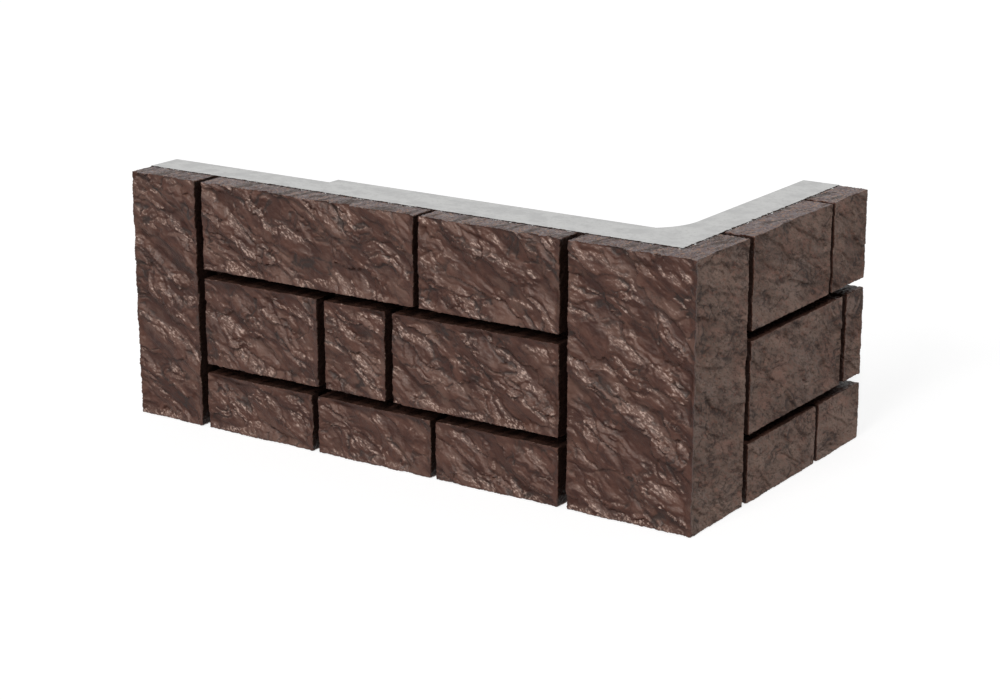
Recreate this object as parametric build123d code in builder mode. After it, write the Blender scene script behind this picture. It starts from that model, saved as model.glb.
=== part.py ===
from build123d import *
from math import cos, radians, sin
import os

# Corner wall block: a concrete backing, L-shaped in plan, with split-faced stones on its two outer sides.
# Lengths are in millimetres. +Z is up, the front wall faces -Y and the return wall faces +X.
# The origin is the middle of the block's plan rectangle, on the base.

# Overall size
block_length = 1168.4
block_return = 609.6
block_height = 457.2

# Concrete backing
backing_thickness = 69.85
pad_rise = 25.4
pad_length = 812.8
cove_radius = 101.6

# Facing stones
facing_depth = 57.15
corner_stone_front = 237.0
corner_stone_return = 176.0
left_end_stone_width = 149.0

# Courses, from the base up; the top course takes the height that is left
bottom_course_height = 105.0
middle_course_height = 161.0

# Joints between stones
bed_joint = 15.5
wide_joint = 15.0
medium_joint = 12.0
narrow_joint = 9.5

# Stone lengths, counted from the corner stone; the last stone of a course takes the length that is left
top_first_stone = 280.5
middle_first_stone = 336.5
middle_second_stone = 131.0
bottom_first_stone = 247.5
bottom_second_stone = 243.0

# Ledges of the split faces: each slopes back from its crest, then comes out again at its foot
front_ledge_slope = 33.0
return_ledge_slope = 23.0
front_ledge_fall = 6.0
return_ledge_fall = 2.8
wide_ledge = 96.0
medium_ledge = 80.0
narrow_ledge = 64.0
ledge_foot = 28.0
crest_trim = 0.4

# Places worked out from the sizes above
corner_x = block_length / 2
front_y = -block_return / 2
leg_thickness = facing_depth + backing_thickness
middle_course_bottom = bottom_course_height + bed_joint
top_course_bottom = middle_course_bottom + middle_course_height + bed_joint
top_course_height = block_height - top_course_bottom

# The ledges in the order in which they repeat up a face, and the slope and fall that they have on each wall
ledge_pattern = [medium_ledge, narrow_ledge, wide_ledge]
ledges = {
    "front": (radians(front_ledge_slope), front_ledge_fall),
    "return": (radians(return_ledge_slope), return_ledge_fall),
}

# Each course: its bottom, its height, and its stones with the joint that follows each
courses = {
    "bottom": (
        0,
        bottom_course_height,
        [(bottom_first_stone, narrow_joint), (bottom_second_stone, medium_joint)],
    ),
    "middle": (
        middle_course_bottom,
        middle_course_height,
        [(middle_first_stone, wide_joint), (middle_second_stone, wide_joint)],
    ),
    "top": (
        top_course_bottom,
        top_course_height,
        [(top_first_stone, narrow_joint)],
    ),
}


def plan_point(wall, along, depth):
    """A point in plan, by its distance from the outer corner along a wall and its depth behind the face."""
    if wall == "front":
        return Vector(corner_x - along, front_y + depth)
    return Vector(corner_x - depth, front_y + along)


def plan_rectangle(wall, near, far, outer, inner):
    """Draw in plan what lies from near to far along a wall, and from outer to inner behind its face."""
    first = plan_point(wall, near, outer)
    last = plan_point(wall, far, inner)
    with Locations((first + last) / 2):
        Rectangle(abs(last.X - first.X), abs(last.Y - first.Y))


def ledge_profile(fall, reach):
    """The section across the ledges of a face, from the lowest crest up: how far up and how far out."""
    crest = -sum(ledge_pattern) * (reach // sum(ledge_pattern) + 1)
    points = []
    while crest < reach:
        for width in ledge_pattern:
            points.append((crest, crest_trim))
            points.append((crest + width - ledge_foot, -fall * width / medium_ledge))
            crest += width
    points.append((crest, crest_trim))
    return points


def split_face(wall, near, bottom, length, height):
    """Split the outer face of a stone: ledges that run down to the right, set out from one lower corner."""
    turn, fall = ledges[wall]
    level = Vector(1, 0, 0) if wall == "front" else Vector(0, 1, 0)
    upright = Vector(0, 0, 1)
    corner = plan_point(wall, near, 0) + upright * bottom
    across = level * sin(turn) + upright * cos(turn)
    along = level * cos(turn) - upright * sin(turn)
    profile = ledge_profile(fall, length + height)
    back = -(facing_depth + block_return)
    with BuildSketch(Plane(origin=corner, x_dir=across, z_dir=along)) as section:
        with BuildLine():
            Polyline(*profile, (profile[-1][0], back), (profile[0][0], back), close=True)
        make_face()
    extrude(section.sketch, amount=length + height, both=True, mode=Mode.INTERSECT)


def finish(name, piece):
    """Label a piece and write it to its own file."""
    piece.part.label = name
    export_step(piece.part, f"parts/{name}.step")


def make_backing():
    """L-shaped backing: two legs joined by a cove, and a thicker pad along most of the front leg."""
    with BuildPart() as backing:
        with BuildSketch() as plan:
            plan_rectangle("front", facing_depth, block_length, facing_depth, leg_thickness)
            plan_rectangle("return", facing_depth, block_return, facing_depth, leg_thickness)
            inside_corner = plan_point("front", leg_thickness, leg_thickness)
            fillet(plan.vertices().sort_by_distance(inside_corner)[0], radius=cove_radius)
            plan_rectangle("front", leg_thickness, pad_length, facing_depth, leg_thickness + pad_rise)
        extrude(amount=block_height)
    finish("concrete_backing", backing)


def make_corner_stone():
    """Full-height stone, L-shaped in plan, that turns the outer corner in one piece."""
    with BuildPart() as stone:
        with BuildSketch():
            plan_rectangle("front", 0, corner_stone_front, 0, facing_depth)
            plan_rectangle("return", 0, corner_stone_return, 0, facing_depth)
        extrude(amount=block_height)
        split_face("front", 0, 0, corner_stone_front, block_height)
        split_face("return", 0, 0, corner_stone_return, block_height)
    finish("corner_stone", stone)


def make_stone(name, wall, near, far, bottom, height):
    """A straight stone that lies from near to far along a wall."""
    with BuildPart() as stone:
        with BuildSketch(Plane.XY.offset(bottom)):
            plan_rectangle(wall, near, far, 0, facing_depth)
        extrude(amount=height)
        split_face(wall, near, bottom, far - near, height)
    finish(name, stone)


def stone_spans(start, end, pattern):
    """Where each stone of a course starts and ends; the stone that reaches the end is cut there."""
    spans = []
    near = start
    for length, joint in pattern:
        if near + length + joint >= end:
            break
        spans.append((near, near + length))
        near += length + joint
    spans.append((near, end))
    return spans


def lay_courses(wall, start, end):
    """Lay the courses of one wall between two distances from the outer corner."""
    for course, (bottom, height, pattern) in courses.items():
        for number, (near, far) in enumerate(stone_spans(start, end, pattern), start=1):
            make_stone(f"{wall}_{course}_stone_{number}", wall, near, far, bottom, height)


os.makedirs("parts", exist_ok=True)
make_backing()
make_corner_stone()
make_stone("left_end_stone", "front", block_length - left_end_stone_width, block_length, 0, block_height)
lay_courses("front", corner_stone_front + wide_joint, block_length - left_end_stone_width - wide_joint)
lay_courses("return", corner_stone_return + wide_joint, block_return)
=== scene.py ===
import math
import bpy
import numpy as np
from mathutils import Euler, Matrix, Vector


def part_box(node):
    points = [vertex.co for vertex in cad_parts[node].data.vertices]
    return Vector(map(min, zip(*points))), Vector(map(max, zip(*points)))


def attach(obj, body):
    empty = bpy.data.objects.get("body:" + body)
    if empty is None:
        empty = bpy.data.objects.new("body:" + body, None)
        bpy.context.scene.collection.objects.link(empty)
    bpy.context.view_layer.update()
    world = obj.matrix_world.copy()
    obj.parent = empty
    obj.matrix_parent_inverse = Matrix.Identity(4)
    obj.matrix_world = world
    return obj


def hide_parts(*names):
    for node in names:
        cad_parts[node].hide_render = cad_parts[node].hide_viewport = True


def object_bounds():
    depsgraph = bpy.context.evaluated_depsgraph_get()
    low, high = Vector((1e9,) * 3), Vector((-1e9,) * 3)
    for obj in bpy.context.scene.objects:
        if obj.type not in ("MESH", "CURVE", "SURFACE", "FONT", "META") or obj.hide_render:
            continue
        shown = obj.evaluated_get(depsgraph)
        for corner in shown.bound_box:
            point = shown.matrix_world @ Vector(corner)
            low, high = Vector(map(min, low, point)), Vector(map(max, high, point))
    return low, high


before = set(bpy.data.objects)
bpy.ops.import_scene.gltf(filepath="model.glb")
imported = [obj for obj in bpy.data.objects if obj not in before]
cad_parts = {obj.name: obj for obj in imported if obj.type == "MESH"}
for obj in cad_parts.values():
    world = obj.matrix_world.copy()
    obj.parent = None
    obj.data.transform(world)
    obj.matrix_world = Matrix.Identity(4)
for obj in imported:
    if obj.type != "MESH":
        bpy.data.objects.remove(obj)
cad_low, cad_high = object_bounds()

# Sizes read from the imported parts, in metres
front_y = cad_low.y
corner_x = cad_high.x
left_x = cad_low.x
far_y = cad_high.y
top_z = cad_high.z
facing_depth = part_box("left_end_stone")[1].y - front_y

# How finely the stones are meshed
face_step = 0.0019
depth_rows = 18
depth_growth = 1.3

# Ledges of the split faces, set out as on the solids
front_slope = math.radians(33)
return_slope = math.radians(23)
front_ledge_fall = 0.0060
return_ledge_fall = 0.0028
wide_ledge = 0.096
medium_ledge = 0.080
narrow_ledge = 0.064
ledge_foot = 0.028
crest_trim = 0.0004
ledge_pattern = (medium_ledge, narrow_ledge, wide_ledge)
ledge_wander = 0.008

# Rock relief on top of the ledges, and how the arrises are worn
front_relief = 0.0103
return_relief = 0.0052
front_seed = 33.1
return_seed = 11.0
mound_length = 0.078
mound_width = 0.037
relief_reach = 0.026
arris_wear = 0.0016
arris_reach = 0.006
arris_calm = 0.014
arris_share = 0.35
arris_set_back = 0.15
nibble = 0.0012
sharp_angle = math.radians(58)


# Node wiring shared by the modelling trees and the materials


def wire(tree, socket, value):
    """Feed a node's input from another node's output, or set it to a plain value."""
    if isinstance(value, bpy.types.NodeSocket):
        tree.links.new(value, socket)
    else:
        socket.default_value = value


def wire_all(tree, node, values):
    """Feed several inputs of a node by their names."""
    for name, value in values.items():
        wire(tree, node.inputs[name], value)


def maths(tree, operation, *values, clamp=False):
    """One sum on plain numbers."""
    node = tree.nodes.new("ShaderNodeMath")
    node.operation = operation
    node.use_clamp = clamp
    for socket, value in zip(node.inputs, values):
        wire(tree, socket, value)
    return node.outputs["Value"]


def vectors(tree, operation, *values, output="Vector"):
    """One sum on vectors."""
    node = tree.nodes.new("ShaderNodeVectorMath")
    node.operation = operation
    sockets = [s for s in node.inputs if s.enabled]
    for socket, value in zip(sockets, values):
        wire(tree, socket, value)
    return node.outputs[output]


def scaled(tree, vector, factor):
    """A vector times a plain number."""
    node = tree.nodes.new("ShaderNodeVectorMath")
    node.operation = "SCALE"
    wire_all(tree, node, {"Vector": vector, "Scale": factor})
    return node.outputs["Vector"]


def shifted(tree, place, x, y):
    """Places moved along, so that a noise read there differs from one read at the places themselves."""
    return vectors(tree, "ADD", place, (x, y, 0.0))


def parts_of(tree, vector):
    """The x, y and z of a vector."""
    node = tree.nodes.new("ShaderNodeSeparateXYZ")
    wire(tree, node.inputs[0], vector)
    return node.outputs["X"], node.outputs["Y"], node.outputs["Z"]


def joined(tree, x, y, z):
    """A vector from its x, y and z."""
    node = tree.nodes.new("ShaderNodeCombineXYZ")
    for socket, value in zip(node.inputs, (x, y, z)):
        wire(tree, socket, value)
    return node.outputs["Vector"]


def noise(tree, vector, scale, detail=2.0, roughness=0.5, output="Fac", dimensions="3D"):
    """Smooth noise, with its scale in lumps to a metre where the places are in metres."""
    node = tree.nodes.new("ShaderNodeTexNoise")
    node.noise_dimensions = dimensions
    wire_all(tree, node, {"Vector": vector, "Scale": scale, "Detail": detail, "Roughness": roughness})
    return node.outputs[output]


def ramp(tree, value, start, end, low=0.0, high=1.0, smooth=True):
    """Map start..end onto low..high, held at both ends."""
    node = tree.nodes.new("ShaderNodeMapRange")
    node.interpolation_type = "SMOOTHSTEP" if smooth else "LINEAR"
    wire_all(tree, node, {"From Min": start, "From Max": end, "To Min": low, "To Max": high, "Value": value})
    return node.outputs["Result"]


def cells(tree, vector, feature, dimensions="2D"):
    """A node that parts space, or a plane, into cells about 1 across."""
    node = tree.nodes.new("ShaderNodeTexVoronoi")
    node.voronoi_dimensions = dimensions
    node.feature = feature
    wire_all(tree, node, {"Vector": vector, "Scale": 1.0})
    return node


def along_grain(tree, along, up, cosine, sine):
    """A place on a wall, counted along the grain that slopes down it and across that grain."""
    down = maths(tree, "MULTIPLY", up, sine)
    rise = maths(tree, "MULTIPLY", up, cosine)
    with_grain = maths(tree, "SUBTRACT", maths(tree, "MULTIPLY", along, cosine), down)
    across = maths(tree, "ADD", maths(tree, "MULTIPLY", along, sine), rise)
    return with_grain, across


# Rock relief, as a tree of nodes


def new_tree(name, inputs, outputs):
    """A tree of modelling nodes, with the nodes that hold what goes in and what comes out."""
    tree = bpy.data.node_groups.new(name, "GeometryNodeTree")
    for label, kind, value in inputs:
        socket = tree.interface.new_socket(label, in_out="INPUT", socket_type=kind)
        if value is not None:
            socket.default_value = value
    for label, kind in outputs:
        tree.interface.new_socket(label, in_out="OUTPUT", socket_type=kind)
    return tree, tree.nodes.new("NodeGroupInput"), tree.nodes.new("NodeGroupOutput")


def mounds(tree, point, lean, crown, spread, blend):
    """Overlapping mounds: each falls gently along +Y of the point and breaks off at its foot."""
    cell = cells(tree, point, "SMOOTH_F1")
    cell.inputs["Smoothness"].default_value = blend
    local = parts_of(tree, vectors(tree, "SUBTRACT", point, cell.outputs["Position"]))[1]
    own = parts_of(tree, cell.outputs["Color"])
    fall = maths(tree, "MULTIPLY", local, maths(tree, "MULTIPLY_ADD", own[0], lean, lean * 0.5))
    off_crown = maths(tree, "POWER", maths(tree, "MINIMUM", cell.outputs["Distance"], 0.9), 2.0)
    dome = maths(tree, "MULTIPLY", off_crown, crown)
    level = maths(tree, "MULTIPLY", maths(tree, "SUBTRACT", own[1], 0.5), spread)
    return maths(tree, "SUBTRACT", level, maths(tree, "ADD", fall, dome))


def creases(tree, point, scale, width, mask_scale, threshold):
    """Thin wandering lines, 1 on the line and 0 beside it, that come and go."""
    level = noise(tree, point, scale, 3.0, 0.5, dimensions="2D")
    away = maths(tree, "ABSOLUTE", maths(tree, "SUBTRACT", level, 0.5))
    here = noise(tree, shifted(tree, point, 31.0, 17.0), mask_scale, 1.0, dimensions="2D")
    shown = ramp(tree, here, threshold, threshold + 0.06)
    return maths(tree, "MULTIPLY", ramp(tree, away, 0.0, width, 1.0, 0.0), shown)


def relief_tree():
    """How far a split face lies behind its highest points, from 0 to 1, at a place on the wall."""
    tree, given, result = new_tree(
        "Split rock relief",
        [
            ("Along", "NodeSocketFloat", None),
            ("Up", "NodeSocketFloat", None),
            ("Slope", "NodeSocketFloat", front_slope),
            ("Mound Length", "NodeSocketFloat", mound_length),
            ("Mound Width", "NodeSocketFloat", mound_width),
            ("Seed", "NodeSocketFloat", 0.0),
        ],
        [
            ("Inward", "NodeSocketFloat"),
            ("Crevice", "NodeSocketFloat"),
            ("Grain", "NodeSocketVector"),
        ],
    )
    along, up, slope = given.outputs["Along"], given.outputs["Up"], given.outputs["Slope"]
    length, width, seed = given.outputs["Mound Length"], given.outputs["Mound Width"], given.outputs["Seed"]
    cosine, sine = maths(tree, "COSINE", slope), maths(tree, "SINE", slope)
    with_grain, across = along_grain(tree, along, up, cosine, sine)
    with_grain = maths(tree, "ADD", maths(tree, "DIVIDE", with_grain, length), seed)
    point = joined(tree, with_grain, maths(tree, "DIVIDE", across, width), 0.0)
    for scale, detail, reach in ((0.5, 2.0, (0.9, 1.6, 0.0)), (2.2, 3.0, (0.35, 0.55, 0.0))):
        bend = noise(tree, point, scale, detail, 0.55, "Color", dimensions="2D")
        bend = vectors(tree, "SUBTRACT", bend, (0.5, 0.5, 0.5))
        point = vectors(tree, "ADD", point, vectors(tree, "MULTIPLY", bend, reach))
    small_point = scaled(tree, shifted(tree, point, 7.3, 2.1), 2.5)
    tiny_point = scaled(tree, shifted(tree, point, 3.9, 8.2), 5.4)
    height = maths(tree, "MULTIPLY", mounds(tree, point, 0.95, 0.9, 0.3, 0.12), 0.93)
    broken = noise(tree, shifted(tree, point, 4.4, 9.1), 0.8, 1.0, dimensions="2D")
    broken = ramp(tree, broken, 0.42, 0.58, 0.35, 1.15)
    small = maths(tree, "MULTIPLY", mounds(tree, small_point, 0.9, 1.2, 0.5, 0.15), 0.27)
    small = maths(tree, "MULTIPLY_ADD", mounds(tree, tiny_point, 0.8, 1.5, 0.6, 0.25), 0.11, small)
    height = maths(tree, "MULTIPLY_ADD", small, broken, height)
    lively = ramp(tree, noise(tree, point, 0.55, 1.0, dimensions="2D"), 0.38, 0.62, 0.60, 1.20)
    height = maths(tree, "MULTIPLY", height, lively)
    swell = maths(tree, "SUBTRACT", noise(tree, point, 0.4, 1.0, dimensions="2D"), 0.5)
    height = maths(tree, "MULTIPLY_ADD", swell, 0.35, height)
    long_crease = creases(tree, point, 0.8, 0.028, 0.7, 0.48)
    short_crease = creases(tree, point, 1.9, 0.045, 1.1, 0.52)
    crease = maths(tree, "MAXIMUM", long_crease, maths(tree, "MULTIPLY", short_crease, 0.7))
    height = maths(tree, "MULTIPLY_ADD", crease, -0.22, height)
    height = maths(tree, "SMOOTH_MAX", height, -0.55, 0.5)
    inward = ramp(tree, height, 0.25, -0.75, smooth=False)
    wire_all(tree, result, {"Inward": inward, "Crevice": crease, "Grain": point})
    return tree


def ledge_tree():
    """How far a ledged face lies behind its crests, at a place counted from the lower corner of a stone."""
    tree, given, result = new_tree(
        "Split ledges",
        [
            ("Along", "NodeSocketFloat", None),
            ("Up", "NodeSocketFloat", None),
            ("Slope", "NodeSocketFloat", front_slope),
            ("Fall", "NodeSocketFloat", front_ledge_fall),
            ("Wander", "NodeSocketFloat", 0.0),
        ],
        [("Depth", "NodeSocketFloat")],
    )
    slope, fall = given.outputs["Slope"], given.outputs["Fall"]
    across = maths(tree, "MULTIPLY", given.outputs["Along"], maths(tree, "SINE", slope))
    across = maths(tree, "MULTIPLY_ADD", given.outputs["Up"], maths(tree, "COSINE", slope), across)
    across = maths(tree, "ADD", across, given.outputs["Wander"])
    place = maths(tree, "FLOORED_MODULO", across, sum(ledge_pattern))
    depth = maths(tree, "SUBTRACT", 0.0, crest_trim)
    crest = 0.0
    for width in ledge_pattern:
        drop = maths(tree, "MULTIPLY_ADD", fall, width / medium_ledge, crest_trim)
        low = crest + width - ledge_foot
        down = maths(tree, "MULTIPLY", ramp(tree, place, crest, low, smooth=False), drop)
        back = maths(tree, "MULTIPLY", ramp(tree, place, low, crest + width, smooth=False), drop)
        depth = maths(tree, "ADD", depth, maths(tree, "SUBTRACT", down, back))
        crest += width
    wire(tree, result.inputs["Depth"], maths(tree, "MAXIMUM", depth, 0.0))
    return tree


def face_tree(relief, ledges, material):
    """Split the outer faces of a sawn blank and wear its arrises."""
    tree, given, result = new_tree(
        "Split faced stone",
        [
            ("Blank", "NodeSocketGeometry", None),
            ("Low Corner", "NodeSocketVector", None),
            ("High Corner", "NodeSocketVector", None),
            ("Worn Low Sides", "NodeSocketVector", None),
            ("Worn High Sides", "NodeSocketVector", None),
            ("Front Relief", "NodeSocketFloat", 0.0),
            ("Return Relief", "NodeSocketFloat", 0.0),
            ("Front Slope", "NodeSocketFloat", front_slope),
            ("Return Slope", "NodeSocketFloat", return_slope),
            ("Front Ledge Fall", "NodeSocketFloat", front_ledge_fall),
            ("Return Ledge Fall", "NodeSocketFloat", return_ledge_fall),
            ("Ledge Wander", "NodeSocketFloat", ledge_wander),
            ("Mound Length", "NodeSocketFloat", mound_length),
            ("Mound Width", "NodeSocketFloat", mound_width),
            ("Relief Reach", "NodeSocketFloat", relief_reach),
            ("Arris Wear", "NodeSocketFloat", arris_wear),
            ("Arris Reach", "NodeSocketFloat", arris_reach),
            ("Arris Calm", "NodeSocketFloat", arris_calm),
        ],
        [("Stone", "NodeSocketGeometry")],
    )
    place = tree.nodes.new("GeometryNodeInputPosition").outputs["Position"]
    x, y, z = parts_of(tree, place)
    reach = given.outputs["Relief Reach"]

    from_low = vectors(tree, "SUBTRACT", place, given.outputs["Low Corner"])
    from_high = vectors(tree, "SUBTRACT", given.outputs["High Corner"], place)
    nearest = parts_of(tree, vectors(tree, "MINIMUM", from_low, from_high))
    stone_top = parts_of(tree, given.outputs["High Corner"])[2]
    under_bed = maths(tree, "SUBTRACT", stone_top, z)
    open_top = ramp(tree, stone_top, top_z - 0.002, top_z - 0.001, 0.0, 0.010)
    from_bed = maths(tree, "MINIMUM", parts_of(tree, from_low)[2], maths(tree, "ADD", under_bed, open_top))

    sway = maths(tree, "SUBTRACT", noise(tree, place, 22.0, 3.0, 0.6), 0.5)
    sway = maths(tree, "MULTIPLY", sway, maths(tree, "MULTIPLY", given.outputs["Ledge Wander"], 2.0))
    up = maths(tree, "SUBTRACT", z, parts_of(tree, given.outputs["Low Corner"])[2])

    def split_wall(along, corner, depth, slope, fall, amount, seed, from_end):
        """The push, and what the finish needs to know, for one of the two outer faces."""
        ledge = tree.nodes.new("GeometryNodeGroup")
        ledge.node_tree = ledges
        from_corner = maths(tree, "SUBTRACT", along, corner)
        wire_all(tree, ledge, {"Along": from_corner, "Up": up, "Slope": slope, "Fall": fall, "Wander": sway})
        rock = tree.nodes.new("GeometryNodeGroup")
        rock.node_tree = relief
        wire_all(tree, rock, {"Along": along, "Up": z, "Slope": slope, "Seed": seed})
        wire_all(tree, rock, {name: given.outputs[name] for name in ("Mound Length", "Mound Width")})
        fade = maths(tree, "SUBTRACT", 1.0, maths(tree, "DIVIDE", depth, reach), clamp=True)
        from_arris = maths(tree, "MINIMUM", from_end, from_bed)
        calm = ramp(tree, from_arris, 0.0, given.outputs["Arris Calm"], arris_share, 1.0)
        shown = ramp(tree, amount, 0.0, 0.001)
        push = maths(tree, "MULTIPLY", rock.outputs["Inward"], amount)
        push = maths(tree, "ADD", push, maths(tree, "MULTIPLY", ledge.outputs["Depth"], shown))
        set_back = maths(tree, "MULTIPLY", amount, arris_set_back)
        push = maths(tree, "MULTIPLY_ADD", maths(tree, "SUBTRACT", push, set_back), calm, set_back)
        push = maths(tree, "MULTIPLY", push, fade)
        shown = maths(tree, "MULTIPLY", ramp(tree, depth, 0.0, 0.001, 1.0, 0.0), shown)
        return push, shown, rock.outputs

    front_depth = maths(tree, "SUBTRACT", y, front_y)
    return_depth = maths(tree, "SUBTRACT", corner_x, x)
    near_end = parts_of(tree, given.outputs["High Corner"])[0]
    front_push, front_shown, front = split_wall(
        x, near_end, front_depth, given.outputs["Front Slope"], given.outputs["Front Ledge Fall"],
        given.outputs["Front Relief"], front_seed, nearest[0],
    )
    near_end = parts_of(tree, given.outputs["Low Corner"])[1]
    return_push, return_shown, side = split_wall(
        y, near_end, return_depth, given.outputs["Return Slope"], given.outputs["Return Ledge Fall"],
        given.outputs["Return Relief"], return_seed, nearest[1],
    )
    split = joined(tree, maths(tree, "MULTIPLY", return_push, -1.0), front_push, 0.0)

    per_reach = maths(tree, "DIVIDE", 1.0, given.outputs["Arris Reach"])

    def wear(distance, sides, shift):
        """How far the arrises at some sides of the stone are worn back, with small bites in them."""
        near = vectors(tree, "SUBTRACT", (1.0, 1.0, 1.0), scaled(tree, distance, per_reach))
        near = vectors(tree, "MAXIMUM", near, (0.0, 0.0, 0.0))
        here = vectors(tree, "ADD", place, shift)
        rough = noise(tree, here, 150.0, 3.0, 0.6, "Color")
        rough = vectors(tree, "SUBTRACT", rough, (0.28, 0.28, 0.28))
        rough = vectors(tree, "MAXIMUM", scaled(tree, rough, 2.0), (0.0, 0.0, 0.0))
        worn = scaled(tree, vectors(tree, "MULTIPLY", near, rough), given.outputs["Arris Wear"])
        close = vectors(tree, "MULTIPLY", near, vectors(tree, "MULTIPLY", near, near))
        bitten = noise(tree, here, 420.0, 1.0, 0.5, "Color")
        bitten = vectors(tree, "MAXIMUM", vectors(tree, "SUBTRACT", bitten, (0.4, 0.4, 0.4)), (0.0, 0.0, 0.0))
        bitten = vectors(tree, "MULTIPLY", close, scaled(tree, bitten, 4.0 * nibble))
        return vectors(tree, "MULTIPLY", vectors(tree, "ADD", worn, bitten), sides)

    low_wear = wear(from_low, given.outputs["Worn Low Sides"], (0.0, 0.0, 0.0))
    high_wear = wear(from_high, given.outputs["Worn High Sides"], (1.7, 2.9, 4.1))
    moved = vectors(tree, "ADD", split, vectors(tree, "SUBTRACT", low_wear, high_wear))

    def behind(amount, depth):
        """The depth behind a face, or far more where the stone isn't split on that face."""
        return maths(tree, "ADD", ramp(tree, amount, 0.0, 0.001, 1.0, 0.0), depth)

    stone = given.outputs["Blank"]
    front_behind = behind(given.outputs["Front Relief"], front_depth)
    return_behind = behind(given.outputs["Return Relief"], return_depth)
    stone = stored(tree, stone, "behind", "FLOAT", maths(tree, "MINIMUM", front_behind, return_behind))
    only_return = maths(tree, "MULTIPLY", return_shown, maths(tree, "SUBTRACT", 1.0, front_shown))
    past_arris = ramp(tree, maths(tree, "MULTIPLY_ADD", sway, 0.3, front_depth), 0.0005, 0.0045)
    stone = stored(tree, stone, "on return", "FLOAT", maths(tree, "MULTIPLY", only_return, past_arris))
    from_turn = maths(tree, "MAXIMUM", front_depth, return_depth)
    stone = stored(tree, stone, "at arris", "FLOAT", ramp(tree, from_turn, 0.001, 0.005, 1.0, 0.0))
    for name, label in (("relief", "Inward"), ("crevice", "Crevice")):
        on_front = maths(tree, "MULTIPLY", front[label], front_shown)
        on_return = maths(tree, "MULTIPLY", side[label], return_shown)
        stone = stored(tree, stone, name, "FLOAT", maths(tree, "MAXIMUM", on_front, on_return))
    choose = tree.nodes.new("ShaderNodeMix")
    choose.data_type = "VECTOR"
    front_grain, return_grain = choose.inputs[4], choose.inputs[5]
    wire(tree, choose.inputs["Factor"], only_return)
    wire(tree, front_grain, front["Grain"])
    wire(tree, return_grain, side["Grain"])
    stone = stored(tree, stone, "grain", "FLOAT_VECTOR", choose.outputs[1])

    shift = tree.nodes.new("GeometryNodeSetPosition")
    wire_all(tree, shift, {"Geometry": stone, "Offset": moved})
    shade = tree.nodes.new("GeometryNodeSetShadeSmooth")
    wire(tree, shade.inputs["Geometry"], shift.outputs["Geometry"])
    sharp = tree.nodes.new("GeometryNodeSetShadeSmooth")
    sharp.domain = "EDGE"
    wire(tree, sharp.inputs["Geometry"], shade.outputs["Geometry"])
    angle = tree.nodes.new("GeometryNodeInputMeshEdgeAngle").outputs["Unsigned Angle"]
    wire(tree, sharp.inputs["Selection"], maths(tree, "GREATER_THAN", angle, sharp_angle))
    sharp.inputs["Shade Smooth"].default_value = False
    whole = tree.nodes.new("GeometryNodeRealizeInstances")
    wire(tree, whole.inputs["Geometry"], sharp.outputs["Geometry"])
    finish = tree.nodes.new("GeometryNodeSetMaterial")
    finish.inputs["Material"].default_value = material
    wire(tree, finish.inputs["Geometry"], whole.outputs["Geometry"])
    wire(tree, result.inputs["Stone"], finish.outputs["Geometry"])
    return tree


def stored(tree, geometry, name, kind, value):
    """Keep a value on every point, for the finish to read."""
    node = tree.nodes.new("GeometryNodeStoreNamedAttribute")
    node.data_type = kind
    node.domain = "POINT"
    wire_all(tree, node, {"Name": name, "Geometry": geometry, "Value": value})
    return node.outputs["Geometry"]


# Sawn blanks: closed, finely divided bodies that the tree then splits


def lines(low, high):
    """Evenly spaced lines from one side to the other."""
    count = max(1, math.ceil((high - low) / face_step - 1e-6))
    return np.linspace(low, high, count + 1)


def depth_lines(face, back):
    """Lines from the outer face to the back of a stone, close together at the face."""
    share = np.linspace(0, 1, depth_rows + 1) ** depth_growth
    return np.sort(face + (back - face) * share)


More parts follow.
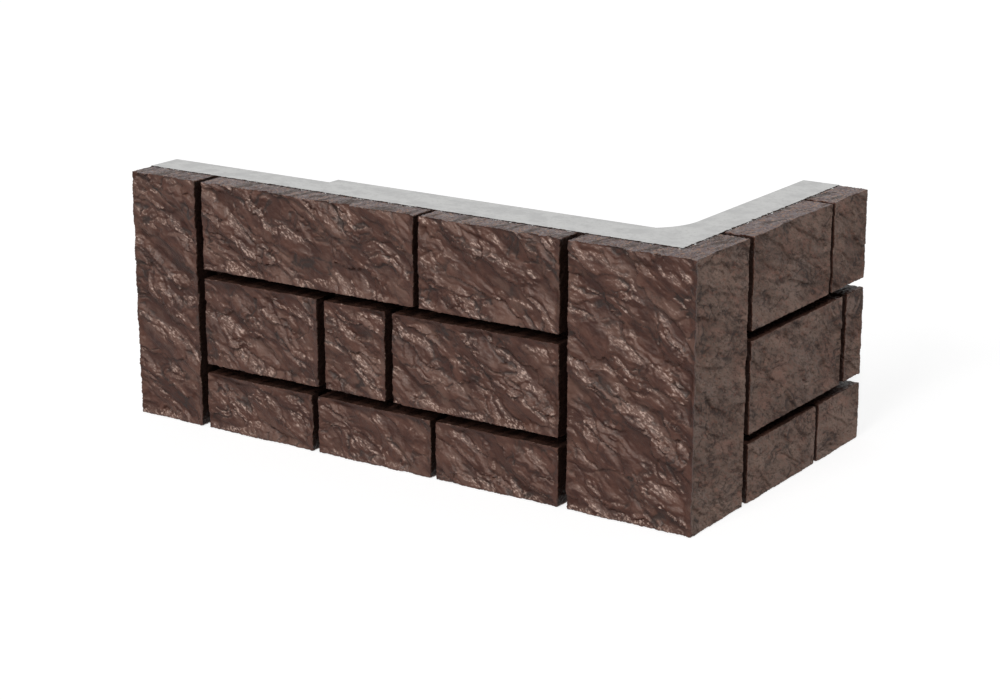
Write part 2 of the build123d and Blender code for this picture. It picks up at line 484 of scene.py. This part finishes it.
def blank(name, xs, ys, zs, solid, backs):
    """A closed mesh round the solid cells of a plan; each back is a run of corners closed by one face."""
    columns, rows, layers = len(xs), len(ys), len(zs)

    def corner(i, j, k):
        """The number of a point of the lattice."""
        return (np.asarray(i) * rows + j) * layers + k

    quads = []

    def cap(k, upward):
        """One quad to each solid cell, for the top or the base."""
        i, j = np.nonzero(solid)
        ring = [(i, j), (i + 1, j), (i + 1, j + 1), (i, j + 1)]
        if not upward:
            ring.reverse()
        quads.append(np.stack([corner(a, b, k) for a, b in ring], 1))

    def wall(near, far):
        """Quads that rise on a plan edge from the near to the far lattice corner."""
        k = np.arange(layers - 1)
        near = corner(near[0], near[1], 0)[:, None] + k
        far = corner(far[0], far[1], 0)[:, None] + k
        quads.append(np.stack([near, far, far + 1, near + 1], 2).reshape(-1, 4))

    padded = np.pad(solid, 1)
    core = padded[1:-1, 1:-1]
    cap(layers - 1, True)
    cap(0, False)
    joined_edges = set()
    for run in backs:
        joined_edges.update(zip(run[:-1], run[1:]))
    for open_side, start, end in (
        (~padded[2:, 1:-1], (1, 0), (1, 1)),
        (~padded[:-2, 1:-1], (0, 1), (0, 0)),
        (~padded[1:-1, 2:], (1, 1), (0, 1)),
        (~padded[1:-1, :-2], (0, 0), (1, 0)),
    ):
        i, j = np.nonzero(core & open_side)
        kept = [
            n
            for n in range(len(i))
            if ((i[n] + start[0], j[n] + start[1]), (i[n] + end[0], j[n] + end[1])) not in joined_edges
        ]
        i, j = i[kept], j[kept]
        wall((i + start[0], j + start[1]), (i + end[0], j + end[1]))
    quads = np.concatenate(quads)
    closing = []
    for run in backs:
        bottom = [int(corner(i, j, 0)) for i, j in run]
        top = [n + layers - 1 for n in bottom]
        rise = [bottom[-1] + k for k in range(1, layers - 1)]
        fall = [bottom[0] + k for k in range(layers - 2, 0, -1)]
        closing.append(bottom + rise + top[::-1] + fall)
    used = np.unique(np.concatenate([quads.ravel(), *closing]))
    renumber = np.zeros(columns * rows * layers, int)
    renumber[used] = np.arange(len(used))
    i, rest = np.divmod(used, rows * layers)
    j, k = np.divmod(rest, layers)
    points = np.stack([np.asarray(xs)[i], np.asarray(ys)[j], np.asarray(zs)[k]], 1)
    mesh = bpy.data.meshes.new(name)
    faces = renumber[quads].tolist() + [renumber[face].tolist() for face in closing]
    mesh.from_pydata(points.tolist(), [], faces)
    mesh.update()
    return mesh


def straight_blank(node, wall):
    """The blank of a stone that lies in one wall."""
    low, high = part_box(node)
    if wall == "front":
        xs, ys = lines(low.x, high.x), depth_lines(low.y, high.y)
        back = [(i, len(ys) - 1) for i in range(len(xs) - 1, -1, -1)]
    else:
        xs, ys = depth_lines(high.x, low.x), lines(low.y, high.y)
        back = [(0, j) for j in range(len(ys) - 1, -1, -1)]
    solid = np.ones((len(xs) - 1, len(ys) - 1), bool)
    return blank(node, xs, ys, lines(low.z, high.z), solid, [back])


def corner_blank(node):
    """The blank of the stone that turns the corner."""
    low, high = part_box(node)
    inner_x, inner_y = high.x - facing_depth, low.y + facing_depth
    xs = np.concatenate([lines(low.x, inner_x)[:-1], lines(inner_x, high.x)])
    ys = np.concatenate([lines(low.y, inner_y)[:-1], lines(inner_y, high.y)])
    turn_i, turn_j = int(np.argmin(abs(xs - inner_x))), int(np.argmin(abs(ys - inner_y)))
    solid = np.zeros((len(xs) - 1, len(ys) - 1), bool)
    solid[:, :turn_j] = True
    solid[turn_i:, :] = True
    front_back = [(i, turn_j) for i in range(turn_i, -1, -1)]
    return_back = [(turn_i, j) for j in range(len(ys) - 1, turn_j - 1, -1)]
    return blank(node, xs, ys, lines(low.z, high.z), solid, [front_back, return_back])


def split_stone(node, mesh, tree, faces):
    """Run the splitting tree on a blank and keep the result as a plain mesh in the node's place."""
    low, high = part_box(node)
    piece = bpy.data.objects.new(f"{node}_split", mesh)
    bpy.context.scene.collection.objects.link(piece)
    modifier = piece.modifiers.new("Split", "NODES")
    modifier.node_group = tree
    socket = {item.name: item.identifier for item in tree.interface.items_tree if item.in_out == "INPUT"}
    on_front, on_return = float("front" in faces), float("return" in faces)
    modifier[socket["Low Corner"]] = list(low)
    modifier[socket["High Corner"]] = list(high)
    modifier[socket["Worn Low Sides"]] = (on_front, 1.0 - on_front, 1.0)
    modifier[socket["Worn High Sides"]] = (1.0 - on_return, on_return, 1.0)
    modifier[socket["Front Relief"]] = front_relief * on_front
    modifier[socket["Return Relief"]] = return_relief * on_return
    evaluated = piece.evaluated_get(bpy.context.evaluated_depsgraph_get())
    baked = bpy.data.meshes.new_from_object(evaluated)
    piece.modifiers.remove(modifier)
    piece.data = baked
    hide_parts(node)
    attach(piece, "root")
    return piece


# Finishes


def new_finish(name):
    """A material with its tree, its shader and the place on the object."""
    material = bpy.data.materials.new(name)
    material.use_nodes = True
    tree = material.node_tree
    tree.nodes.clear()
    shader = tree.nodes.new("ShaderNodeBsdfPrincipled")
    output = tree.nodes.new("ShaderNodeOutputMaterial")
    tree.links.new(shader.outputs["BSDF"], output.inputs["Surface"])
    place = tree.nodes.new("ShaderNodeTexCoord").outputs["Object"]
    return material, tree, shader, place


def mixed(tree, factor, first, second):
    """Between two colours by a factor."""
    node = tree.nodes.new("ShaderNodeMix")
    node.data_type = "RGBA"
    node.clamp_factor = True
    wire(tree, node.inputs["Factor"], factor)
    for socket, value in ((node.inputs[6], first), (node.inputs[7], second)):
        wire(tree, socket, value if isinstance(value, bpy.types.NodeSocket) else (*value, 1.0))
    return node.outputs[2]


def attribute(tree, name):
    """A value that the splitting tree kept on the points."""
    node = tree.nodes.new("ShaderNodeAttribute")
    node.attribute_name = name
    return node.outputs["Fac"]


def bump(tree, height, distance):
    """A surface that looks as if a height of 1 stood out by the distance."""
    node = tree.nodes.new("ShaderNodeBump")
    wire_all(tree, node, {"Strength": 1.0, "Distance": distance, "Height": height})
    return node.outputs["Normal"]


# Colours: red, green and blue in linear light

brown = (0.0636, 0.0245, 0.0159)
light_brown = (0.113, 0.061, 0.045)
dark_brown = (0.0255, 0.0058, 0.0027)
glint_tan = (0.38, 0.270, 0.222)
mineral_grey = (0.078, 0.0405, 0.029)
crease_shade_and_crack_brown = (0.012, 0.007, 0.006)
# The return's colours are lighter than the front's brown: painted light that makes up for the weaker lamp
# light on the return
return_brown = (0.1520, 0.1015, 0.0800)
return_dark = (0.0345, 0.0158, 0.0103)
return_rose = (0.2004, 0.1145, 0.0882)
return_light = (0.23, 0.158, 0.126)
return_mauve = (0.1777, 0.127, 0.106)
return_fleck = (0.170, 0.078, 0.058)
# The top's mauve grey paints the sky's sheen on the upward faces; the tan and dark are its strands and bands
top_sheen_mauve = (0.123, 0.095, 0.097)
top_tan = (0.264, 0.1584, 0.1056)
top_dark = (0.0396, 0.02508, 0.0198)
# Painted shade for the inside of the joints
joint_shade_brown = (0.0145, 0.0070, 0.0052)
joint_bed_shade_brown = (0.038, 0.0175, 0.0125)
concrete_pale = (0.624, 0.624, 0.616)
concrete_dull = (0.543, 0.543, 0.539)
concrete_speck = (0.491, 0.491, 0.477)
concrete_grey = (0.595, 0.595, 0.59)
air_hole_shade_grey = (0.20, 0.20, 0.195)

# Air holes to a metre, depths of the finest grain, and how far the edge of the grey wanders on top
air_holes = 60.0
stone_grain_depth = 0.0012
concrete_grain_depth = 0.0008
slurry_wander = 0.022

# The way that the lit flanks face, towards the key lamp; they get painted highlights and painted glint flecks
lit_side = (0.45, 0.0, 0.89)


def drawn_out(tree, along, up, inward, slope):
    """Places in a wall, squeezed along the slope so that a noise there runs in streaks."""
    with_grain, across = along_grain(tree, along, up, math.cos(slope), math.sin(slope))
    inward = maths(tree, "MULTIPLY", inward, 0.7)
    return joined(tree, maths(tree, "MULTIPLY", with_grain, 0.42), across, inward)


def depth_behind_face(tree, x, y):
    """How far a place lies behind the nearer of the block's two outer faces."""
    return maths(tree, "MINIMUM", maths(tree, "SUBTRACT", y, front_y), maths(tree, "SUBTRACT", corner_x, x))


def faces_up(tree, normal):
    """1 where the surface looks upwards."""
    return ramp(tree, normal[2], 0.6, 0.8)


def stone_finish():
    """Brown split stone: front and return colours with painted highlights and shade, the top's strands on a
    painted sheen, painted shade on the joint walls, and grey slurry.
    """
    material, tree, shader, place = new_finish("brown split stone")
    x, y, z = parts_of(tree, place)
    normal = parts_of(tree, tree.nodes.new("ShaderNodeNewGeometry").outputs["True Normal"])
    relief, crevice = attribute(tree, "relief"), attribute(tree, "crevice")
    facing = tree.nodes.new("ShaderNodeNewGeometry").outputs["Normal"]
    # Flanks that face the key lamp: the lightening and flecks they get below are painted highlights
    lit_flank = ramp(tree, vectors(tree, "DOT_PRODUCT", facing, lit_side, output="Value"), 0.12, 0.42)
    lit_flank = maths(tree, "MULTIPLY", lit_flank, maths(tree, "SUBTRACT", 1.0, attribute(tree, "at arris")))
    grain_node = tree.nodes.new("ShaderNodeAttribute")
    grain_node.attribute_name = "grain"
    grain = grain_node.outputs["Vector"]

    front_streaks = drawn_out(tree, x, z, y, front_slope)
    return_streaks = drawn_out(tree, y, z, x, return_slope)
    on_return = ramp(tree, attribute(tree, "on return"), 0.1, 0.9)

    # Front: brown, with painted shade in the hollows and crevices, and painted highlights and pale glint
    # flecks on the flanks that face the key lamp
    tone = noise(tree, front_streaks, 48.0, 6.0, 0.65)
    colour = mixed(tree, ramp(tree, tone, 0.35, 0.58), dark_brown, brown)
    colour = mixed(tree, ramp(tree, tone, 0.56, 0.72, 0.0, 0.6), colour, light_brown)
    # Painted highlight: the flanks that face the key lamp are lightened
    colour = mixed(tree, maths(tree, "MULTIPLY", lit_flank, 0.55), colour, light_brown)
    # Painted shade: the deeper hollows of the relief turn dark brown
    colour = mixed(tree, ramp(tree, relief, 0.45, 0.95, 0.0, 0.85), colour, dark_brown)
    shade = noise(tree, shifted(tree, front_streaks, 3.3, 1.9), 27.0, 3.0, 0.6)
    colour = mixed(tree, ramp(tree, shade, 0.52, 0.68, 0.0, 0.55), colour, dark_brown)
    colour = mixed(tree, ramp(tree, shade, 0.46, 0.32, 0.0, 0.55), colour, light_brown)
    mineral = noise(tree, shifted(tree, front_streaks, 5.1, 9.7), 65.0, 5.0, 0.65)
    colour = mixed(tree, ramp(tree, mineral, 0.56, 0.66, 0.0, 0.5), colour, mineral_grey)
    # Painted glints: pale tan flecks in clumps on the lit flanks
    glint_clump = ramp(tree, noise(tree, shifted(tree, grain, 1.3, 6.1), 1.0, 2.0, 0.5), 0.42, 0.58)
    glint_fleck = ramp(tree, noise(tree, front_streaks, 330.0, 2.0, 0.6), 0.47, 0.66)
    glint_fleck = maths(tree, "MULTIPLY", glint_fleck, maths(tree, "MULTIPLY", lit_flank, glint_clump))
    colour = mixed(tree, maths(tree, "MULTIPLY", glint_fleck, 0.8), colour, glint_tan)

    # Return: lighter than the front as painted light for its weaker lamp light, duller, with a dark mottle
    # drawn out along the grain and reddish patches
    mottle = noise(tree, return_streaks, 55.0, 8.0, 0.72)
    patch = noise(tree, shifted(tree, return_streaks, 2.7, 4.4), 22.0, 5.0, 0.62)
    side = mixed(tree, ramp(tree, mottle, 0.34, 0.56), return_dark, return_brown)
    side = mixed(tree, ramp(tree, patch, 0.52, 0.62, 0.0, 0.7), side, return_rose)
    side = mixed(tree, ramp(tree, patch, 0.48, 0.38, 0.0, 0.8), side, return_mauve)
    cloud = noise(tree, shifted(tree, return_streaks, 8.1, 3.3), 26.0, 7.0, 0.7)
    side = mixed(tree, ramp(tree, cloud, 0.46, 0.36, 0.0, 0.6), side, return_dark)
    shade = noise(tree, shifted(tree, return_streaks, 3.3, 1.9), 13.0, 3.0, 0.6)
    side = mixed(tree, ramp(tree, shade, 0.50, 0.66, 0.0, 0.5), side, return_dark)
    side = mixed(tree, ramp(tree, shade, 0.46, 0.32, 0.0, 0.6), side, return_light)
    side = mixed(tree, ramp(tree, mottle, 0.45, 0.35, 0.0, 0.9), side, return_dark)
    wander = noise(tree, shifted(tree, return_streaks, 5.5, 2.2), 24.0, 7.0, 0.68)
    crack = ramp(tree, maths(tree, "ABSOLUTE", maths(tree, "SUBTRACT", wander, 0.5)), 0.0, 0.011, 1.0, 0.0)
    here = noise(tree, shifted(tree, return_streaks, 1.1, 7.4), 14.0, 1.0)
    crack = maths(tree, "MULTIPLY", crack, ramp(tree, here, 0.46, 0.58))
    side = mixed(tree, maths(tree, "MULTIPLY", crack, 0.6), side, crease_shade_and_crack_brown)
    pale = noise(tree, shifted(tree, return_streaks, 9.2, 0.7), 75.0, 6.0, 0.7)
    side = mixed(tree, ramp(tree, pale, 0.56, 0.66, 0.0, 0.6), side, return_light)
    side_fleck = noise(tree, shifted(tree, return_streaks, 4.2, 6.3), 230.0, 4.0, 0.65)
    side = mixed(tree, ramp(tree, side_fleck, 0.53, 0.61, 0.0, 0.5), side, return_fleck)
    side = mixed(tree, ramp(tree, side_fleck, 0.47, 0.38, 0.0, 0.6), side, return_dark)
    colour = mixed(tree, on_return, colour, side)

    # Painted shade: the creases of the relief are darkened towards black
    colour = mixed(tree, maths(tree, "MULTIPLY", crevice, 0.85), colour, crease_shade_and_crack_brown)

    # Top: a mauve grey, lighter and greyer than the front's brown, that paints the sky's sheen on the upward
    # faces, with tan strands that run back from the face and dark bands
    level = faces_up(tree, normal)
    upward = maths(tree, "MULTIPLY", level, ramp(tree, z, top_z - 0.006, top_z - 0.003))
    strand = joined(tree, maths(tree, "MULTIPLY_ADD", y, -0.20, x), maths(tree, "MULTIPLY", y, 0.14), 0.0)
    streak = noise(tree, strand, 120.0, 5.0, 0.7)
    band = noise(tree, strand, 62.0, 4.0, 0.6)
    dot = noise(tree, place, 260.0, 2.0, 0.6)
    top = mixed(tree, ramp(tree, dot, 0.54, 0.60, 0.0, 0.85), top_sheen_mauve, top_tan)
    top = mixed(tree, ramp(tree, streak, 0.56, 0.64, 0.0, 0.6), top, top_tan)
    top = mixed(tree, ramp(tree, streak, 0.44, 0.38, 0.0, 0.7), top, top_dark)
    top = mixed(tree, ramp(tree, band, 0.53, 0.57, 0.0, 0.9), top, top_dark)
    colour = mixed(tree, upward, colour, top)

    # Joint walls: painted shade behind the arris, for the shadow inside the joints, except where the wall is
    # the block's own top, base or end
    depth = depth_behind_face(tree, x, y)
    at_left = ramp(tree, x, left_x + 0.004, left_x + 0.002)
    at_far = ramp(tree, y, far_y - 0.004, far_y - 0.002)
    at_top = ramp(tree, z, top_z - 0.004, top_z - 0.002)
    at_base = ramp(tree, z, 0.004, 0.002)
    at_end = maths(tree, "MAXIMUM", at_left, at_far)
    outside = maths(tree, "MAXIMUM", at_end, maths(tree, "MAXIMUM", at_top, at_base))
    walls = ramp(tree, attribute(tree, "behind"), 0.0002, 0.0040)
    inside = maths(tree, "MULTIPLY", walls, maths(tree, "SUBTRACT", 1.0, outside))
    past_line = maths(tree, "SUBTRACT", depth, slurry_line(tree, place))
    contact = maths(tree, "MULTIPLY", upward, ramp(tree, past_line, -0.003, -0.0005))
    slurry = maths(tree, "MULTIPLY", upward, ramp(tree, past_line, 0.0, 0.0004))
    bed_shade = mixed(tree, ramp(tree, band, 0.44, 0.56), joint_bed_shade_brown, joint_shade_brown)
    joint_shade = mixed(tree, level, joint_shade_brown, bed_shade)
    colour = mixed(tree, inside, colour, joint_shade)
    colour = mixed(tree, contact, colour, top_dark)
    colour = mixed(tree, slurry, colour, concrete_grey)

    # Surface: slightly glossy on the front and duller on the return, with fine grain along the streaks
    wire(tree, shader.inputs["Base Color"], colour)
    gloss = ramp(tree, noise(tree, place, 60.0, 3.0, 0.6), 0.4, 0.6, 0.46, 0.30)
    wire(tree, shader.inputs["Roughness"], mixed_value(tree, on_return, gloss, 0.75))
    shader.inputs["Specular IOR Level"].default_value = 0.27
    shader.inputs["Specular Tint"].default_value = (1.0, 0.93, 0.89, 1.0)
    fine = noise(tree, place, 270.0, 3.0, 0.6)
    front_wrinkle = noise(tree, front_streaks, 170.0, 5.0, 0.65)
    return_wrinkle = noise(tree, return_streaks, 140.0, 5.0, 0.65)
    wrinkle = mixed_value(tree, on_return, front_wrinkle, return_wrinkle)
    grit = noise(tree, front_streaks, 380.0, 2.0, 0.6)
    grit = maths(tree, "MULTIPLY", grit, maths(tree, "MULTIPLY", lit_flank, 0.7))
    height = maths(tree, "MULTIPLY_ADD", fine, maths(tree, "MULTIPLY_ADD", lit_flank, 0.35, 0.30), grit)
    height = maths(tree, "MULTIPLY_ADD", wrinkle, 1.3, height)
    wire(tree, shader.inputs["Normal"], bump(tree, height, stone_grain_depth))
    return material


def slurry_line(tree, place):
    """The ragged depth behind the face at which brown and grey meet on top."""
    ragged = maths(tree, "SUBTRACT", noise(tree, place, 70.0, 5.0, 0.7), 0.5)
    return maths(tree, "MULTIPLY_ADD", ragged, slurry_wander, facing_depth)


def mixed_value(tree, factor, first, second):
    """Between two plain numbers by a factor."""
    span = maths(tree, "SUBTRACT", second, first)
    return maths(tree, "MULTIPLY_ADD", span, factor, first)


def concrete_finish():
    """Light grey cast concrete, with painted shade on the joint floors."""
    material, tree, shader, place = new_finish("light grey concrete")
    x, y, z = parts_of(tree, place)
    cloud = noise(tree, place, 24.0, 6.0, 0.65)
    speck = noise(tree, place, 140.0, 5.0, 0.7)
    colour = mixed(tree, ramp(tree, cloud, 0.38, 0.58), concrete_dull, concrete_pale)
    colour = mixed(tree, ramp(tree, speck, 0.52, 0.66, 0.0, 0.7), colour, concrete_speck)
    normal = parts_of(tree, tree.nodes.new("ShaderNodeNewGeometry").outputs["True Normal"])

    # Cast sides: small air holes, darkened inside as painted shade, and faint upright runs; the top was
    # struck off smooth
    cast_side = ramp(tree, maths(tree, "ABSOLUTE", normal[2]), 0.4, 0.2)
    hole = cells(tree, scaled(tree, place, air_holes), "F1", "3D")
    radius = ramp(tree, parts_of(tree, hole.outputs["Color"])[0], 0.45, 1.0, 0.0, 0.17, smooth=False)
    inside = maths(tree, "SUBTRACT", radius, hole.outputs["Distance"])
    inside = maths(tree, "MULTIPLY", ramp(tree, inside, 0.0, 0.05), cast_side)
    runs = noise(tree, joined(tree, x, y, maths(tree, "MULTIPLY", z, 0.2)), 14.0, 5.0, 0.65)
    runs = maths(tree, "MULTIPLY", ramp(tree, runs, 0.48, 0.66, 0.0, 0.6), cast_side)
    colour = mixed(tree, runs, colour, concrete_speck)
    colour = mixed(tree, maths(tree, "MULTIPLY", inside, 0.8), colour, air_hole_shade_grey)

    # Joint floors in painted shade, and the brown that is smeared over the edge on top
    depth = depth_behind_face(tree, x, y)
    outward = maths(tree, "MAXIMUM", maths(tree, "MULTIPLY", normal[1], -1.0), normal[0])
    behind_joint = ramp(tree, depth, facing_depth + 0.002, facing_depth + 0.001)
    floor = maths(tree, "MULTIPLY", ramp(tree, outward, 0.5, 0.9), behind_joint)
    colour = mixed(tree, floor, colour, joint_shade_brown)
    on_top = maths(tree, "MULTIPLY", faces_up(tree, normal), ramp(tree, z, top_z - 0.003, top_z - 0.002))
    past_line = maths(tree, "SUBTRACT", depth, slurry_line(tree, place))
    stain = ramp(tree, past_line, 0.0004, 0.0)
    colour = mixed(tree, maths(tree, "MULTIPLY", on_top, stain), colour, top_dark)
    wire(tree, shader.inputs["Base Color"], colour)
    shader.inputs["Roughness"].default_value = 0.85
    shader.inputs["Specular IOR Level"].default_value = 0.12
    surface = maths(tree, "MULTIPLY_ADD", inside, -3.0, maths(tree, "MULTIPLY", speck, 0.5))
    wire(tree, shader.inputs["Normal"], bump(tree, surface, concrete_grain_depth))
    return material


# Camera, floor and light; the camera stands in block heights from the foot of the outer corner

camera_turn = math.radians(33.92)
camera_tilt = math.radians(16.50)
camera_place = (3.740, -6.748, 2.964)
camera_lens = 84.93
floor_lift = 0.55
sky_light = 0.255
lamps = (
    ("key", (0.34, -0.62, 0.71), 2.0, math.radians(8)),
    ("sheen", (0.02, -0.90, 0.43), 1.33, math.radians(24)),
)


def place_camera():
    """The camera at the photo's angle."""
    data = bpy.data.cameras.new("camera")
    data.sensor_width = 36.0
    data.lens = camera_lens
    camera = bpy.data.objects.new("camera", data)
    corner = Vector((corner_x, front_y, 0.0))
    camera.location = corner + Vector(camera_place) * top_z
    camera.rotation_euler = Euler((math.pi / 2 - camera_tilt, 0.0, camera_turn))
    bpy.context.scene.collection.objects.link(camera)
    bpy.context.scene.camera = camera


def lay_floor():
    """A wide pale floor that keeps the block's shadow."""
    size = 40.0
    corners = [(-size, -size, 0), (size, -size, 0), (size, size, 0), (-size, size, 0)]
    mesh = bpy.data.meshes.new("floor")
    mesh.from_pydata(corners, [], [(0, 1, 2, 3)])
    floor = bpy.data.objects.new("floor", mesh)
    bpy.context.scene.collection.objects.link(floor)
    material = bpy.data.materials.new("pale floor")
    material.use_nodes = True
    tree = material.node_tree
    tree.nodes.clear()
    paint = tree.nodes.new("ShaderNodeBsdfDiffuse")
    paint.inputs["Color"].default_value = (0.55, 0.55, 0.55, 1.0)
    glow = tree.nodes.new("ShaderNodeEmission")
    wire(tree, glow.inputs["Strength"], maths(tree, "MULTIPLY", light_path(tree), floor_lift))
    both = tree.nodes.new("ShaderNodeAddShader")
    output = tree.nodes.new("ShaderNodeOutputMaterial")
    wire(tree, both.inputs[0], paint.outputs["BSDF"])
    wire(tree, both.inputs[1], glow.outputs["Emission"])
    wire(tree, output.inputs["Surface"], both.outputs["Shader"])
    mesh.materials.append(material)


def light_path(tree):
    """1 on rays that come straight from the camera, off a gloss or through glass."""
    node = tree.nodes.new("ShaderNodeLightPath")
    seen = maths(tree, "MAXIMUM", node.outputs["Is Camera Ray"], node.outputs["Is Glossy Ray"])
    return maths(tree, "MAXIMUM", seen, node.outputs["Is Transmission Ray"])


def light_scene():
    """An even sky, white where it is seen, and two lamps."""
    world = bpy.data.worlds.new("studio")
    bpy.context.scene.world = world
    world.use_nodes = True
    tree = world.node_tree
    tree.nodes.clear()
    sky = tree.nodes.new("ShaderNodeBackground")
    sky.inputs["Color"].default_value = (1.0, 1.0, 1.0, 1.0)
    wire(tree, sky.inputs["Strength"], ramp(tree, light_path(tree), 0.0, 1.0, sky_light, 1.0))
    output = tree.nodes.new("ShaderNodeOutputWorld")
    wire(tree, output.inputs["Surface"], sky.outputs["Background"])
    for name, direction, strength, width in lamps:
        data = bpy.data.lights.new(name, "SUN")
        data.energy = strength
        data.angle = width
        lamp = bpy.data.objects.new(name, data)
        lamp.rotation_mode = "QUATERNION"
        lamp.rotation_quaternion = Vector(direction).to_track_quat("Z", "Y")
        bpy.context.scene.collection.objects.link(lamp)
    bpy.context.scene.view_settings.view_transform = "Standard"


def main():
    """Dress the block: a split stone in place of each facing stone, and a finish on the backing."""
    place_camera()
    lay_floor()
    light_scene()
    stone = stone_finish()
    concrete = concrete_finish()
    tree = face_tree(relief_tree(), ledge_tree(), stone)
    for node in sorted(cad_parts):
        if node == "concrete_backing":
            continue
        if node == "corner_stone":
            split_stone(node, corner_blank(node), tree, ("front", "return"))
        else:
            wall = "return" if node.startswith("return") else "front"
            split_stone(node, straight_blank(node, wall), tree, (wall,))
    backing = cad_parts["concrete_backing"]
    backing.data.materials.clear()
    backing.data.materials.append(concrete)


main()
